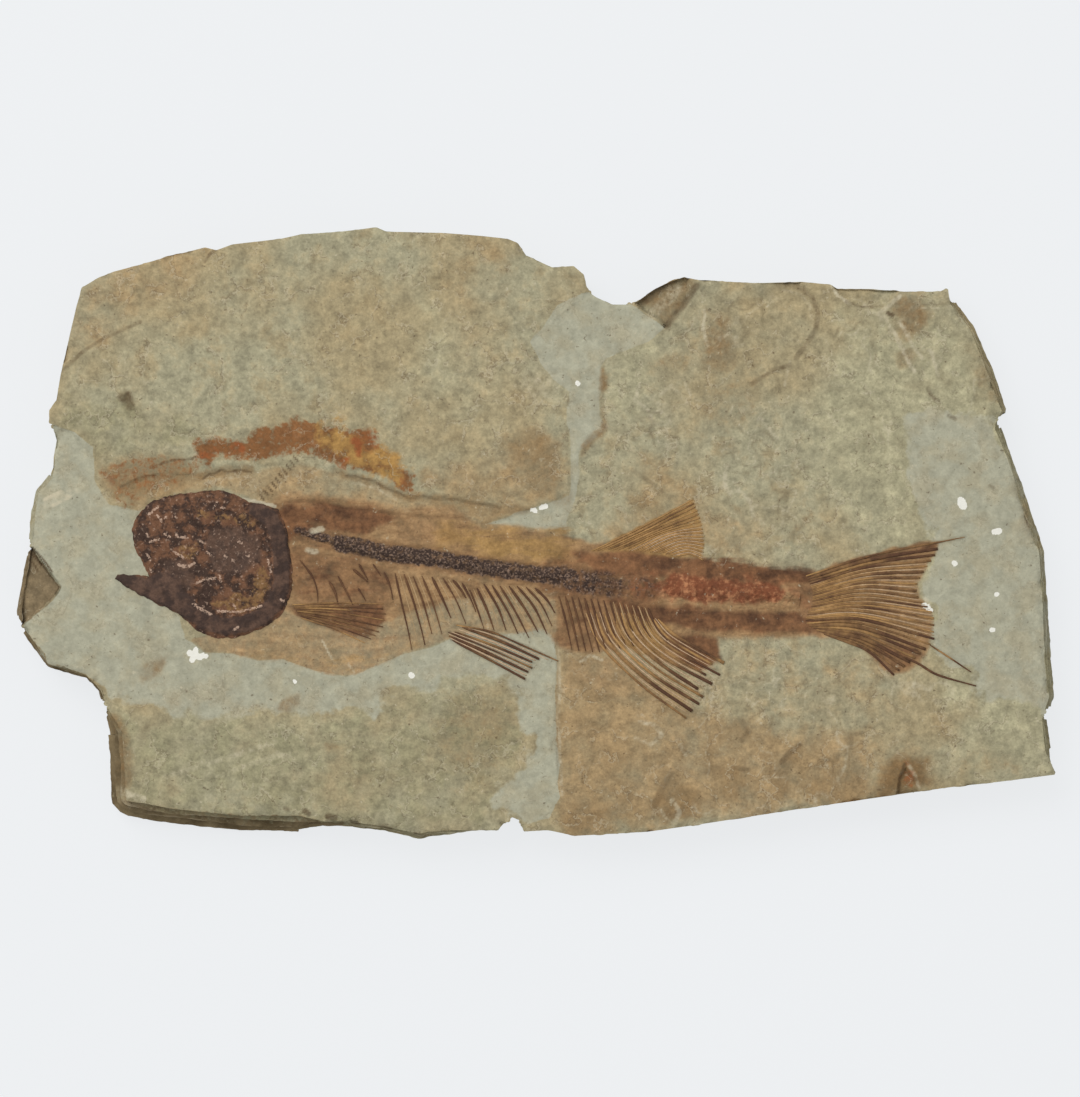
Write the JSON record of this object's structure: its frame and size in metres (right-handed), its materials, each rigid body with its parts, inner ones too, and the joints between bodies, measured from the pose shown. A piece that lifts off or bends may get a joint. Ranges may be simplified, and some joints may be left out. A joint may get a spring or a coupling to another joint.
{
  "type": "fossil fish slab",
  "caption": "Broken and repaired stone slab lying on its flat back, with a whole fossil fish in low relief on its face, from skull to tail fin.",
  "frame": {"origin": "under the middle of the slab's outline, on the flat back that it rests on", "axes": "+X from the fish's head to its tail, +Y towards its back, +Z out of the face that the fish lies on"},
  "size_m": [0.365, 0.215, 0.021],
  "materials": {
    "stone": "matte, fine-grained, olive tan with rust stains",
    "filler": "matte, smooth, grey green with white specks",
    "bone": "dull, grainy, dark umber",
    "fin": "dull, ribbed, reddish brown"
  },
  "bodies": {
    "root": {"stone_left": "stone", "stone_right": "stone", "stone_lower_left": "stone", "stone_left_chip": "stone", "filler_top": "filler", "filler_belly": "filler", "filler_tail": "filler", "skull": "bone", "backbone_front": "bone", "backbone_rear": "bone", "pectoral_fin": "fin", "pelvic_fin": "fin", "dorsal_fin": "fin", "anal_fin": "fin", "tail_fin": "fin"}
  },
  "joints": []
}
